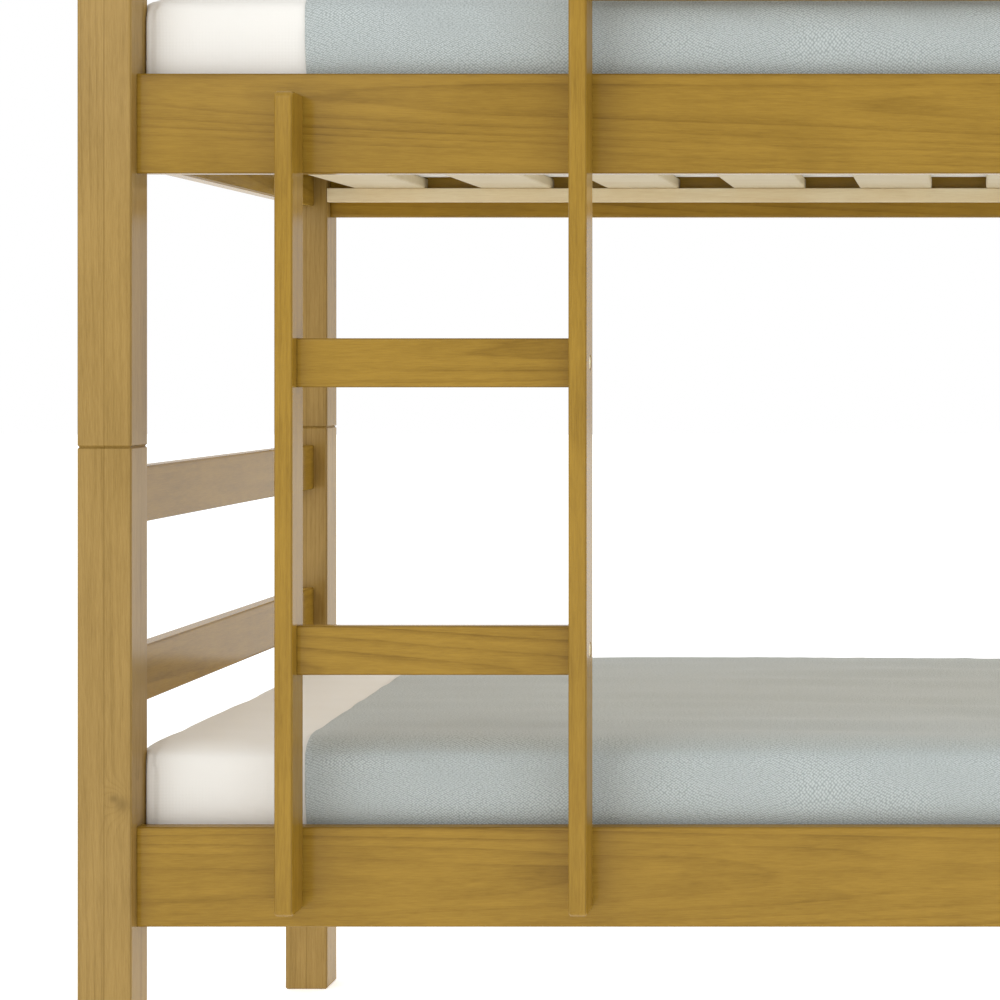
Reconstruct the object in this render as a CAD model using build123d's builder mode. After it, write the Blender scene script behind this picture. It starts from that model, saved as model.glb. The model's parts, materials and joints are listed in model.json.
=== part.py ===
"""Two-tier single bunk bed in pine, with a fixed ladder, guard rails, mattresses and coverlets.

Millimetres. +X runs along the bed, +Y from the ladder side to the rear, +Z up. The origin is on the
floor, under the middle of the whole object's box. Each tier is a bedstead of four posts, two side
rails, slats on ledgers, and three boards across each end. The upper tier's posts stand on the lower
tier's posts and are located by steel pins.
"""

import os

from build123d import *

# Driving dimensions of the bedsteads
MATTRESS_ROOM_X = 1886
MATTRESS_ROOM_Y = 882
POST = 60
BOARD = 22
LOWER_POST_LENGTH = 808
TIER_RISE = 836
SIDE_RAIL_LOW = 275
SIDE_RAIL_HEIGHT = 111
END_BOARDS = {"end_rail": (290, 96), "low_bar": (514, 64), "high_bar": (719, 64)}
LEDGER = 19
LEDGER_HEIGHT = 20
LEDGER_LOW = 296
SLAT_COUNT = 10
SLAT_WIDTH = 104
SLAT_THICKNESS = 15
SLAT_PITCH = 182
FIRST_SLAT_X = 97.5
SLAT_END_GAP = 1

# Ladder and guard rails
STILE_WIDTH = 20
STILE_DEPTH = 50
STILE_FOOT = 296
STILE_CENTRES_X = {"left": 235, "right": 556}
STILE_TOPS = {"left": 1198, "right": 1481}
RUNG_CENTRES_Z = {"lower": 585, "upper": 901}
RUNG_HEIGHT = 54
RUNG_THICKNESS = 20
RUNG_INSET = 20
GUARD_LOWS = {"lower": 1305, "upper": 1441}
GUARD_HEIGHT = 64
GUARD_OVERHANG = 10
GUARD_END_ROUND = 12

# Edges
BOARD_ROUND = 3
POST_CHAMFER = 2
STILE_END_ROUND = 8
LEDGER_ROUND = 1.5

# Bedding
MATTRESS_HEIGHT = 143
MATTRESS_GAP_X = 5
MATTRESS_GAP_Y = 8
MATTRESS_CORNER = 50
MATTRESS_EDGE = 22
COVERLET_THICKNESS = 4
COVERLET_LENGTH = 1484
COVERLET_HEM_ABOVE_SLATS = 29

# Fastenings
DOWEL_RADIUS = 4
DOWEL_GRIP = 20
RUNG_DOWEL_GRIP = 10
LEDGER_DOWEL_GRIP = 12
SIDE_DOWEL_SPREAD = 35
END_RAIL_DOWEL_SPREAD = 30
BAR_DOWEL_SPREAD = 16
RUNG_DOWEL_SPREAD = 18
PIN_RADIUS = 5
PIN_GRIP = 40
PIN_CLEARANCE = 0.1
PIN_END_SPACE = 2
BOLT_RADIUS = 3
BOLT_HOLE_RADIUS = 3.25
BOLT_HEAD_RADIUS = 5
BOLT_HEAD_HEIGHT = 6
BOLT_SEAT_RADIUS = 7
BOLT_SOCKET_RADIUS = 2.5
BOLT_SOCKET_DEPTH = 3
RAIL_BOLT_SEAT_DEPTH = 8
RAIL_BOLT_LENGTH = 100
NUT_RADIUS = 5
NUT_LENGTH = 16
NUT_FROM_RAIL_END = 35
SCREW_RADIUS = 2
SCREW_HEAD_RADIUS = 4
SCREW_POINT_ANGLE = 90
SLAT_SCREW_LENGTH = 28
SLAT_SCREW_SPREAD = 30
GUARD_SCREW_LENGTH = 50
LADDER_BOLT_SEAT_DEPTH = 7
LADDER_BOLT_LENGTH = 45
LADDER_BOLTS_Z = (1122, 1184)
CAP_HOLE_RADIUS = 8.5
CAP_RADIUS = 8.1
CAP_THICKNESS = 2.5
CAP_INSET = 0.5
CAP_ROUND = 0.8
RUNG_BOLT_SEAT_DEPTH = BOLT_HEAD_HEIGHT + CAP_THICKNESS + CAP_INSET
RUNG_BOLT_LENGTH = 55

# Derived places
SETBACK = (POST - BOARD) / 2
LENGTH = MATTRESS_ROOM_X + 2 * (SETBACK + BOARD)
DEPTH = MATTRESS_ROOM_Y + 2 * (SETBACK + BOARD)
LADDER_STAND_OUT = STILE_DEPTH - SETBACK
MID_Y = LADDER_STAND_OUT / 2
POST_X = (LENGTH - POST) / 2
POST_Y = (DEPTH - POST) / 2
RAIL_HALF = POST_X - POST / 2
END_HALF = POST_Y - POST / 2
SIDE_RAIL_MID = SIDE_RAIL_LOW + SIDE_RAIL_HEIGHT / 2
SLAT_LOW = LEDGER_LOW + LEDGER_HEIGHT
SLAT_TOP = SLAT_LOW + SLAT_THICKNESS
LEDGER_Y = MATTRESS_ROOM_Y / 2 - LEDGER / 2
MATTRESS_X = MATTRESS_ROOM_X - 2 * MATTRESS_GAP_X
MATTRESS_Y = MATTRESS_ROOM_Y - 2 * MATTRESS_GAP_Y
FRONT_RAIL_FACE = MID_Y - DEPTH / 2 + SETBACK
STILE_MID_Y = FRONT_RAIL_FACE - STILE_DEPTH / 2
RUNG_MID_Y = FRONT_RAIL_FACE - STILE_DEPTH + RUNG_INSET + RUNG_THICKNESS / 2
STILES = {side: centre - LENGTH / 2 for side, centre in STILE_CENTRES_X.items()}

SIDES = {"left": -1, "right": 1}
FACES = {"front": -1, "rear": 1}
TIERS = {
    "lower": {"foot": 0, "head": LOWER_POST_LENGTH, "rise": 0},
    "upper": {"foot": LOWER_POST_LENGTH, "head": LOWER_POST_LENGTH + TIER_RISE, "rise": TIER_RISE},
}
STANDING = (Align.CENTER, Align.CENTER, Align.MIN)
HANGING = (Align.CENTER, Align.CENTER, Align.MAX)


def save(piece, name):
    """Label a finished piece and write it to its own file."""
    piece.label = name
    export_step(piece, f"parts/{name}.step")


def facing(points, direction):
    """Planes at the points, each with its normal along the direction."""
    return [Plane(origin=point, z_dir=direction) for point in points]


def beam(start, end, middle, section, along):
    """A plain box from start to end along X or Y, with its long edges eased."""
    length = end - start
    centre = (start + end) / 2
    if along == Axis.X:
        place = (centre, middle[0], middle[1])
        size = (length, section[0], section[1])
    else:
        place = (middle[0], centre, middle[1])
        size = (section[0], length, section[1])
    with BuildPart() as board:
        with Locations(place):
            Box(*size)
        fillet(board.edges().filter_by(along), min(BOARD_ROUND, section[0] / 8))
    return board.part


# ---------------------------------------------------------------- fastenings


def wood_screw(length):
    """A countersunk screw along -Z, its head's flat at the origin."""
    with BuildPart() as screw:
        Cylinder(SCREW_RADIUS, length, align=HANGING)
        Cone(SCREW_RADIUS, SCREW_HEAD_RADIUS, SCREW_HEAD_RADIUS - SCREW_RADIUS, align=HANGING)
    return screw.part


def socket_bolt(length):
    """A socket-head bolt along -Z, the underside of its head at the origin."""
    with BuildPart() as bolt:
        Cylinder(BOLT_RADIUS, length, align=HANGING)
        Cylinder(BOLT_HEAD_RADIUS, BOLT_HEAD_HEIGHT, align=STANDING)
        with BuildSketch(Plane.XY.offset(BOLT_HEAD_HEIGHT)):
            RegularPolygon(BOLT_SOCKET_RADIUS, 6, major_radius=False)
        extrude(amount=-BOLT_SOCKET_DEPTH, mode=Mode.SUBTRACT)
    return bolt.part


def barrel_nut():
    """A cross dowel along -Z from the rail's inner face, tapped through along X."""
    with BuildPart() as nut:
        Cylinder(NUT_RADIUS, NUT_LENGTH, align=HANGING)
        with Locations((0, 0, -BOARD / 2)):
            Cylinder(BOLT_RADIUS, 2 * NUT_RADIUS, rotation=(0, 90, 0), mode=Mode.SUBTRACT)
    return nut.part


def dowel(first_grip, second_grip):
    """A dowel along Z that reaches first_grip above the joint and second_grip below it."""
    with BuildPart() as peg:
        Cylinder(DOWEL_RADIUS, first_grip, align=STANDING)
        Cylinder(DOWEL_RADIUS, second_grip, align=HANGING)
    return peg.part


def place_all(template, planes, name):
    """Write one node that holds a copy of the template on every plane."""
    with BuildPart() as group:
        with Locations(*planes):
            add(template)
    save(group.part, name)


def pairs(middle, spread):
    """Two heights, one spread above the middle and one below it."""
    return (middle - spread, middle + spread)


def end_board_dowels_z(board, rise):
    """Heights of the dowels in an end board."""
    low, height = END_BOARDS[board]
    spread = END_RAIL_DOWEL_SPREAD if board == "end_rail" else BAR_DOWEL_SPREAD
    return pairs(low + rise + height / 2, spread)


def side_joint_points(side, face, heights):
    """Points on a post's inner end, in the plane of the side rail."""
    return [(SIDES[side] * RAIL_HALF, MID_Y + FACES[face] * POST_Y, z) for z in heights]


def end_joint_points(side, face, heights):
    """Points on a post's inner flank, in the plane of the end boards."""
    return [(SIDES[side] * POST_X, MID_Y + FACES[face] * END_HALF, z) for z in heights]


def guard_dowels_z():
    """Heights of the dowels that hold the guard rails to the posts."""
    heights = []
    for low in GUARD_LOWS.values():
        heights.extend(pairs(low + GUARD_HEIGHT / 2, BAR_DOWEL_SPREAD))
    return heights


def has_guard_joint(tier, side, face):
    """Guard rails meet every upper post but the front left one, where the way in is."""
    return tier == "upper" and (side, face) != ("left", "front")


def slat_starts():
    """Left edge of every slat."""
    return [FIRST_SLAT_X - LENGTH / 2 + i * SLAT_PITCH for i in range(SLAT_COUNT)]


def slat_screw_points(z, face):
    """Two screws through a slat's end, over the ledger."""
    y = MID_Y + FACES[face] * LEDGER_Y
    centres = [start + SLAT_WIDTH / 2 for start in slat_starts()]
    return [(x + offset, y, z) for x in centres for offset in pairs(0, SLAT_SCREW_SPREAD)]


def ledger_dowel_points(rise, face):
    """Hidden dowels between the ledger and the side rail, one in each gap between slats."""
    y = MID_Y + FACES[face] * MATTRESS_ROOM_Y / 2
    gap_middle = SLAT_WIDTH + (SLAT_PITCH - SLAT_WIDTH) / 2
    return [(x + gap_middle, y, LEDGER_LOW + rise + LEDGER_HEIGHT / 2) for x in slat_starts()[:-1]]


def ladder_bolt_points(y):
    """Two bolts for each stile, above and below the ledger."""
    return [(x, y, z) for x in STILES.values() for z in LADDER_BOLTS_Z]


def guard_screw_points(y):
    """Two screws from each front guard rail into the right stile."""
    heights = guard_dowels_z()
    return [(STILES["right"], y, z) for z in heights]


# ---------------------------------------------------------------- bedsteads


def make_post(tier, side, face):
    """A post, bored for the pin, the rail bolt and the dowels of every board that meets it."""
    levels = TIERS[tier]
    rise = levels["rise"]
    x = SIDES[side] * POST_X
    y = MID_Y + FACES[face] * POST_Y
    towards_middle_x = (-SIDES[side], 0, 0)
    towards_middle_y = (0, -FACES[face], 0)
    side_heights = list(pairs(SIDE_RAIL_MID + rise, SIDE_DOWEL_SPREAD))
    if has_guard_joint(tier, side, face):
        side_heights += guard_dowels_z()
    end_heights = [z for board in END_BOARDS for z in end_board_dowels_z(board, rise)]
    with BuildPart() as post:
        with Locations((x, y, levels["foot"])):
            Box(POST, POST, levels["head"] - levels["foot"], align=STANDING)
        fillet(post.edges().filter_by(Axis.Z), BOARD_ROUND)
        rims = post.edges().group_by(Axis.Z)
        chamfer(rims[0] + rims[-1], POST_CHAMFER)
        with Locations(*facing(side_joint_points(side, face, side_heights), towards_middle_x)):
            Hole(DOWEL_RADIUS, DOWEL_GRIP)
        with Locations(*facing(end_joint_points(side, face, end_heights), towards_middle_y)):
            Hole(DOWEL_RADIUS, DOWEL_GRIP)
        bolt_seat = (x + SIDES[side] * POST / 2, y, SIDE_RAIL_MID + rise)
        with Locations(*facing([bolt_seat], (SIDES[side], 0, 0))):
            CounterBoreHole(BOLT_HOLE_RADIUS, BOLT_SEAT_RADIUS, RAIL_BOLT_SEAT_DEPTH, POST)
        with Locations((x, y, LOWER_POST_LENGTH)):
            if tier == "lower":
                Hole(PIN_RADIUS, PIN_GRIP)
            else:
                Hole(PIN_RADIUS + PIN_CLEARANCE, PIN_GRIP + PIN_END_SPACE)
    save(post.part, f"{tier}_post_{face}_{side}")


def make_side_rail(tier, face):
    """A side rail, bored at both ends and bored for the ledger and, in front, for the ladder."""
    rise = TIERS[tier]["rise"]
    y = MID_Y + FACES[face] * POST_Y
    middle = SIDE_RAIL_MID + rise
    inner_y = y - FACES[face] * BOARD / 2
    inwards = (0, -FACES[face], 0)
    with BuildPart() as rail:
        add(beam(-RAIL_HALF, RAIL_HALF, (y, middle), (BOARD, SIDE_RAIL_HEIGHT), Axis.X))
        for side, sign in SIDES.items():
            dowels = side_joint_points(side, face, pairs(middle, SIDE_DOWEL_SPREAD))
            with Locations(*facing(dowels, (sign, 0, 0))):
                Hole(DOWEL_RADIUS, DOWEL_GRIP)
            with Locations(*facing(side_joint_points(side, face, [middle]), (sign, 0, 0))):
                Hole(BOLT_HOLE_RADIUS, RAIL_BOLT_LENGTH - POST + RAIL_BOLT_SEAT_DEPTH + 1)
            nut = (sign * (RAIL_HALF - NUT_FROM_RAIL_END), inner_y, middle)
            with Locations(*facing([nut], inwards)):
                Hole(NUT_RADIUS, NUT_LENGTH)
        with Locations(*facing(ledger_dowel_points(rise, face), inwards)):
            Hole(DOWEL_RADIUS, LEDGER_DOWEL_GRIP)
        if (tier, face) == ("upper", "front"):
            with Locations(*facing(ladder_bolt_points(inner_y), inwards)):
                CounterBoreHole(BOLT_HOLE_RADIUS, BOLT_SEAT_RADIUS, LADDER_BOLT_SEAT_DEPTH, BOARD)
    save(rail.part, f"{tier}_side_rail_{face}")


def make_ledger(tier, face):
    """A ledger along the side rail's inner face, which the slats lie on."""
    rise = TIERS[tier]["rise"]
    y = MID_Y + FACES[face] * LEDGER_Y
    top = SLAT_LOW + rise
    with BuildPart() as ledger:
        with Locations((0, y, LEDGER_LOW + rise)):
            Box(2 * RAIL_HALF, LEDGER, LEDGER_HEIGHT, align=STANDING)
        fillet(ledger.edges().filter_by(Axis.X), LEDGER_ROUND)
        with Locations(*facing(ledger_dowel_points(rise, face), (0, FACES[face], 0))):
            Hole(DOWEL_RADIUS, LEDGER_DOWEL_GRIP)
        with Locations(*slat_screw_points(top, face)):
            Hole(SCREW_RADIUS, SLAT_SCREW_LENGTH - SLAT_THICKNESS)
    save(ledger.part, f"{tier}_ledger_{face}")


def make_slats(tier):
    """The row of separate slats, screwed down at both ends."""
    rise = TIERS[tier]["rise"]
    length = MATTRESS_ROOM_Y - 2 * SLAT_END_GAP
    with BuildPart() as slats:
        with Locations(*[(x + SLAT_WIDTH / 2, MID_Y, SLAT_LOW + rise) for x in slat_starts()]):
            Box(SLAT_WIDTH, length, SLAT_THICKNESS, align=STANDING)
        fillet(slats.edges().filter_by(Axis.Y), BOARD_ROUND)
        for face in FACES:
            with Locations(*slat_screw_points(SLAT_TOP + rise, face)):
                CounterSinkHole(SCREW_RADIUS, SCREW_HEAD_RADIUS, SLAT_THICKNESS, SCREW_POINT_ANGLE)
    save(slats.part, f"{tier}_slats")


def make_end_board(tier, side, board):
    """One of the three boards across an end, dowelled between a front and a rear post."""
    rise = TIERS[tier]["rise"]
    low, height = END_BOARDS[board]
    x = SIDES[side] * POST_X
    middle = low + rise + height / 2
    with BuildPart() as rung:
        add(beam(MID_Y - END_HALF, MID_Y + END_HALF, (x, middle), (BOARD, height), Axis.Y))
        for face, sign in FACES.items():
            points = end_joint_points(side, face, end_board_dowels_z(board, rise))
            with Locations(*facing(points, (0, sign, 0))):
                Hole(DOWEL_RADIUS, DOWEL_GRIP)
    save(rung.part, f"{tier}_{side}_{board}")


def make_bedstead_fastenings(tier):
    """Dowels, bolts, barrel nuts and screws that hold one bedstead together."""
    rise = TIERS[tier]["rise"]
    middle = SIDE_RAIL_MID + rise
    dowels = []
    bolts = []
    nuts = []
    ledger_dowels = []
    slat_screws = []
    for face, out_y in FACES.items():
        inner_y = MID_Y + out_y * MATTRESS_ROOM_Y / 2
        ledger_dowels += facing(ledger_dowel_points(rise, face), (0, -out_y, 0))
        slat_screws += facing(slat_screw_points(SLAT_TOP + rise, face), (0, 0, 1))
        for side, out_x in SIDES.items():
            rail_heights = pairs(middle, SIDE_DOWEL_SPREAD)
            dowels += facing(side_joint_points(side, face, rail_heights), (out_x, 0, 0))
            for board in END_BOARDS:
                heights = end_board_dowels_z(board, rise)
                dowels += facing(end_joint_points(side, face, heights), (0, out_y, 0))
            seat_x = out_x * (LENGTH / 2 - RAIL_BOLT_SEAT_DEPTH)
            bolts += facing([(seat_x, MID_Y + out_y * POST_Y, middle)], (out_x, 0, 0))
            nut = (out_x * (RAIL_HALF - NUT_FROM_RAIL_END), inner_y, middle)
            nuts.append(Plane(origin=nut, x_dir=(1, 0, 0), z_dir=(0, -out_y, 0)))
    place_all(dowel(DOWEL_GRIP, DOWEL_GRIP), dowels, f"{tier}_dowels")
    place_all(socket_bolt(RAIL_BOLT_LENGTH), bolts, f"{tier}_rail_bolts")
    place_all(barrel_nut(), nuts, f"{tier}_barrel_nuts")
    place_all(dowel(LEDGER_DOWEL_GRIP, LEDGER_DOWEL_GRIP), ledger_dowels, f"{tier}_ledger_dowels")
    place_all(wood_screw(SLAT_SCREW_LENGTH), slat_screws, f"{tier}_slat_screws")


def make_post_pins():
    """Steel pins, tight in the lower posts and free in the upper ones."""
    with BuildPart() as pins:
        with Locations((0, MID_Y, LOWER_POST_LENGTH)):
            with GridLocations(2 * POST_X, 2 * POST_Y, 2, 2):
                Cylinder(PIN_RADIUS, 2 * PIN_GRIP)
        chamfer(pins.edges().group_by(Axis.Z)[-1], 1)
    save(pins.part, "post_pins")


# ---------------------------------------------------------------- ladder and guard rails


def make_stile(side):
    """A ladder stile seen edge on, with rounded ends, standing on the side rails' front faces."""
    x = STILES[side]
    outwards = SIDES[side]
    top = STILE_TOPS[side]
    rungs = RUNG_CENTRES_Z.values()
    with BuildPart() as stile:
        with BuildSketch(Plane.YZ.offset(x)):
            with Locations((STILE_MID_Y, (STILE_FOOT + top) / 2)):
                RectangleRounded(STILE_DEPTH, top - STILE_FOOT, STILE_END_ROUND)
        extrude(amount=STILE_WIDTH / 2, both=True)
        fillet(stile.faces().filter_by(Axis.X).edges(), BOARD_ROUND)
        caps = [(x + outwards * STILE_WIDTH / 2, RUNG_MID_Y, z) for z in rungs]
        with Locations(*facing(caps, (outwards, 0, 0))):
            CounterBoreHole(BOLT_HOLE_RADIUS, CAP_HOLE_RADIUS, RUNG_BOLT_SEAT_DEPTH, STILE_WIDTH)
        with Locations(*facing(rung_dowel_points(side), (-outwards, 0, 0))):
            Hole(DOWEL_RADIUS, RUNG_DOWEL_GRIP)
        bolts = [point for point in ladder_bolt_points(FRONT_RAIL_FACE) if point[0] == x]
        with Locations(*facing(bolts, (0, 1, 0))):
            Hole(BOLT_RADIUS, LADDER_BOLT_LENGTH - BOARD + LADDER_BOLT_SEAT_DEPTH)
        if side == "right":
            with Locations(*facing(guard_screw_points(FRONT_RAIL_FACE), (0, 1, 0))):
                Hole(SCREW_RADIUS, GUARD_SCREW_LENGTH - BOARD)
    save(stile.part, f"ladder_stile_{side}")


def rung_dowel_points(side):
    """Points on a stile's inner face, above and below each rung bolt."""
    x = STILES[side] - SIDES[side] * STILE_WIDTH / 2
    heights = [z for rung in RUNG_CENTRES_Z.values() for z in pairs(rung, RUNG_DOWEL_SPREAD)]
    return [(x, RUNG_MID_Y, z) for z in heights]


def make_rung(level):
    """A flat step between the stiles."""
    z = RUNG_CENTRES_Z[level]
    ends = {side: STILES[side] - SIDES[side] * STILE_WIDTH / 2 for side in SIDES}
    section = (RUNG_THICKNESS, RUNG_HEIGHT)
    with BuildPart() as rung:
        add(beam(ends["left"], ends["right"], (RUNG_MID_Y, z), section, Axis.X))
        for side, sign in SIDES.items():
            with Locations(*facing([(ends[side], RUNG_MID_Y, z)], (sign, 0, 0))):
                Hole(BOLT_RADIUS, RUNG_BOLT_LENGTH - STILE_WIDTH + RUNG_BOLT_SEAT_DEPTH)
            dowels = [point for point in rung_dowel_points(side) if abs(point[2] - z) < RUNG_HEIGHT]
            with Locations(*facing(dowels, (sign, 0, 0))):
                Hole(DOWEL_RADIUS, DOWEL_GRIP)
    save(rung.part, f"ladder_rung_{level}")


def rung_cap():
    """A cap along +Z whose disc lies on the bolt's head and whose stem fills its socket."""
    with BuildPart() as cap:
        Cylinder(CAP_RADIUS, CAP_THICKNESS, align=STANDING)
        fillet(cap.edges().group_by(Axis.Z)[-1], CAP_ROUND)
        Cylinder(BOLT_SOCKET_RADIUS, BOLT_SOCKET_DEPTH, align=HANGING)
    return cap.part


def make_ladder_fastenings():
    """Rung bolts under their caps, rung dowels, and the bolts into the upper side rail."""
    bolts = []
    caps = []
    dowels = []
    for side, sign in SIDES.items():
        outer_x = STILES[side] + sign * STILE_WIDTH / 2
        seat_x = outer_x - sign * RUNG_BOLT_SEAT_DEPTH
        cap_x = seat_x + sign * BOLT_HEAD_HEIGHT
        rungs = RUNG_CENTRES_Z.values()
        bolts += facing([(seat_x, RUNG_MID_Y, z) for z in rungs], (sign, 0, 0))
        caps += facing([(cap_x, RUNG_MID_Y, z) for z in rungs], (sign, 0, 0))
        dowels += facing(rung_dowel_points(side), (sign, 0, 0))
    place_all(socket_bolt(RUNG_BOLT_LENGTH), bolts, "rung_bolts")
    place_all(rung_cap(), caps, "rung_bolt_caps")
    place_all(dowel(RUNG_DOWEL_GRIP, DOWEL_GRIP), dowels, "rung_dowels")
    seat_y = FRONT_RAIL_FACE + BOARD - LADDER_BOLT_SEAT_DEPTH
    ladder_bolts = facing(ladder_bolt_points(seat_y), (0, 1, 0))
    place_all(socket_bolt(LADDER_BOLT_LENGTH), ladder_bolts, "ladder_bolts")


def make_front_guard_rail(level):
    """A guard rail from the right stile, where its end is rounded, to the right front post."""
    low = GUARD_LOWS[level]
    start = STILES["right"] - STILE_WIDTH / 2 - GUARD_OVERHANG
    middle = low + GUARD_HEIGHT / 2
    inner_y = FRONT_RAIL_FACE + BOARD
    dowels = [(RAIL_HALF, MID_Y - POST_Y, z) for z in pairs(middle, BAR_DOWEL_SPREAD)]
    screws = [(STILES["right"], inner_y, z) for z in pairs(middle, BAR_DOWEL_SPREAD)]
    with BuildPart() as guard:
        with Locations(((start + RAIL_HALF) / 2, MID_Y - POST_Y, middle)):
            Box(RAIL_HALF - start, BOARD, GUARD_HEIGHT)
        fillet(guard.edges().filter_by(Axis.Y).group_by(Axis.X)[0], GUARD_END_ROUND)
        outlines = guard.faces().filter_by(Axis.Y).edges()
        fillet(outlines.filter_by_position(Axis.X, start, RAIL_HALF - 1), BOARD_ROUND)
        with Locations(*facing(dowels, (1, 0, 0))):
            Hole(DOWEL_RADIUS, DOWEL_GRIP)
        with Locations(*facing(screws, (0, 1, 0))):
            CounterSinkHole(SCREW_RADIUS, SCREW_HEAD_RADIUS, BOARD, SCREW_POINT_ANGLE)
    save(guard.part, f"guard_rail_front_{level}")


def make_rear_guard_rail(level):
    """A guard rail along the rear, dowelled between the posts."""
    y = MID_Y + POST_Y
    middle = GUARD_LOWS[level] + GUARD_HEIGHT / 2
    with BuildPart() as guard:
        add(beam(-RAIL_HALF, RAIL_HALF, (y, middle), (BOARD, GUARD_HEIGHT), Axis.X))
        for side, sign in SIDES.items():
            points = side_joint_points(side, "rear", pairs(middle, BAR_DOWEL_SPREAD))
            with Locations(*facing(points, (sign, 0, 0))):
                Hole(DOWEL_RADIUS, DOWEL_GRIP)
    save(guard.part, f"guard_rail_rear_{level}")


def make_guard_fastenings():
    """Dowels into the posts, and screws into the right stile."""
    planes = []
    for side, sign in SIDES.items():
        for face in FACES:
            if has_guard_joint("upper", side, face):
                planes += facing(side_joint_points(side, face, guard_dowels_z()), (sign, 0, 0))
    place_all(dowel(DOWEL_GRIP, DOWEL_GRIP), planes, "guard_rail_dowels")
    screws = facing(guard_screw_points(FRONT_RAIL_FACE + BOARD), (0, 1, 0))
    place_all(wood_screw(GUARD_SCREW_LENGTH), screws, "guard_rail_screws")


# ---------------------------------------------------------------- bedding


def make_bedding(tier):
    """A mattress on the slats, and a coverlet over it that is tucked down beside the side rails."""
    bottom = SLAT_TOP + TIERS[tier]["rise"]
    with BuildPart() as mattress:
        with Locations((0, MID_Y, bottom)):
            Box(MATTRESS_X, MATTRESS_Y, MATTRESS_HEIGHT, align=STANDING)
        fillet(mattress.edges().filter_by(Axis.Z), MATTRESS_CORNER)
        rims = mattress.edges().group_by(Axis.Z)
        fillet(rims[0] + rims[-1], MATTRESS_EDGE)
    hem = bottom + COVERLET_HEM_ABOVE_SLATS
    top = bottom + MATTRESS_HEIGHT + COVERLET_THICKNESS
    width = MATTRESS_Y + 2 * COVERLET_THICKNESS
    with BuildPart() as coverlet:
        with Locations((0, MID_Y, hem)):
            Box(COVERLET_LENGTH, width, top - hem, align=STANDING)
        crown = coverlet.edges().filter_by(Axis.X).group_by(Axis.Z)[-1]
        fillet(crown, MATTRESS_EDGE + COVERLET_THICKNESS)
        add(mattress.part, mode=Mode.SUBTRACT)
    save(mattress.part, f"{tier}_mattress")
    save(coverlet.part, f"{tier}_coverlet")


def main():
    os.makedirs("parts", exist_ok=True)
    for tier in TIERS:
        for face in FACES:
            make_side_rail(tier, face)
            make_ledger(tier, face)
            for side in SIDES:
                make_post(tier, side, face)
        for side in SIDES:
            for board in END_BOARDS:
                make_end_board(tier, side, board)
        make_slats(tier)
        make_bedstead_fastenings(tier)
        make_bedding(tier)
    make_post_pins()
    for side in SIDES:
        make_stile(side)
    for level in RUNG_CENTRES_Z:
        make_rung(level)
    for level in GUARD_LOWS:
        make_front_guard_rail(level)
        make_rear_guard_rail(level)
    make_ladder_fastenings()
    make_guard_fastenings()


main()
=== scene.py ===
"""Finishes for a two-tier pine bunk bed: stained and raw pine, steel, plastic caps and bedding.

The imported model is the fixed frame. Lengths here are metres, and every place comes from the frame.
"""

import json
import math
import random
from functools import partial

import bmesh
import bpy
import numpy as np
from bpy.props import FloatProperty, FloatVectorProperty, IntProperty, PointerProperty
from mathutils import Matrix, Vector
from mathutils.bvhtree import BVHTree

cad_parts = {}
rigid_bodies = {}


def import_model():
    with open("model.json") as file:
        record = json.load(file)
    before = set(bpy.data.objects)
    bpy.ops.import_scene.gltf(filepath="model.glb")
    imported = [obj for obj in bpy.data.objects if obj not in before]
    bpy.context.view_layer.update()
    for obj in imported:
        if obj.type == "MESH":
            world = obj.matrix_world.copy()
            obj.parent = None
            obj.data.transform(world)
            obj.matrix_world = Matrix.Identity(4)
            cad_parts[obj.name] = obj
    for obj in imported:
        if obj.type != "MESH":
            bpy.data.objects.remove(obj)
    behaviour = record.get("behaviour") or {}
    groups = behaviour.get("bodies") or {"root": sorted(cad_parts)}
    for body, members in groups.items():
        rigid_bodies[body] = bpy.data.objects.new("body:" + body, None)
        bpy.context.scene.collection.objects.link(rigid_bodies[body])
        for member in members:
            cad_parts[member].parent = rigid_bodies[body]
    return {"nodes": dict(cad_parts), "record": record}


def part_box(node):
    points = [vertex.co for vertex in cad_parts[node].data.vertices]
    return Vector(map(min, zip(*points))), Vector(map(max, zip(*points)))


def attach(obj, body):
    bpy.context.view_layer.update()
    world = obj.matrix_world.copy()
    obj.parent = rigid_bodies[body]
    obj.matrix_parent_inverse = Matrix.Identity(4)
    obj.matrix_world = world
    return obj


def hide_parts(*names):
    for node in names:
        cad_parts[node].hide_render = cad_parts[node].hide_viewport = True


bl_info = {
    "name": "Bunk bed finishes",
    "version": (1, 0, 0),
    "blender": (4, 5, 0),
    "location": "View3D > Sidebar > Bunk Bed",
    "description": "Pine, hardware and bedding for a two-tier bunk bed with a ladder",
    "category": "Object",
}

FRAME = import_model()
NODES = FRAME["nodes"]
BODIES = FRAME["record"]["behaviour"]["bodies"]
SLOTS = {part["node"]: part["material_slot"] for part in FRAME["record"]["subparts"]}
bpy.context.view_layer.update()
MM = 0.001
TIERS = ("lower", "upper")


def linear(hex_colour):
    """The linear RGBA of an sRGB hex colour."""
    channels = [int(hex_colour[i : i + 2], 16) / 255 for i in (1, 3, 5)]
    curve = [c / 12.92 if c <= 0.04045 else ((c + 0.055) / 1.055) ** 2.4 for c in channels]
    return (*curve, 1.0)


def colour_property(name, description, hex_colour):
    """A colour in a property group, with its default given as sRGB hex."""
    return FloatVectorProperty(
        name=name,
        description=description,
        size=4,
        subtype="COLOR",
        min=0,
        max=1,
        default=linear(hex_colour),
    )


def length_property(name, description, millimetres):
    """A length in a property group, with its default given in millimetres."""
    length = millimetres * MM
    return FloatProperty(name=name, description=description, unit="LENGTH", min=0, default=length)


# ---------------------------------------------------------------- settings


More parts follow.
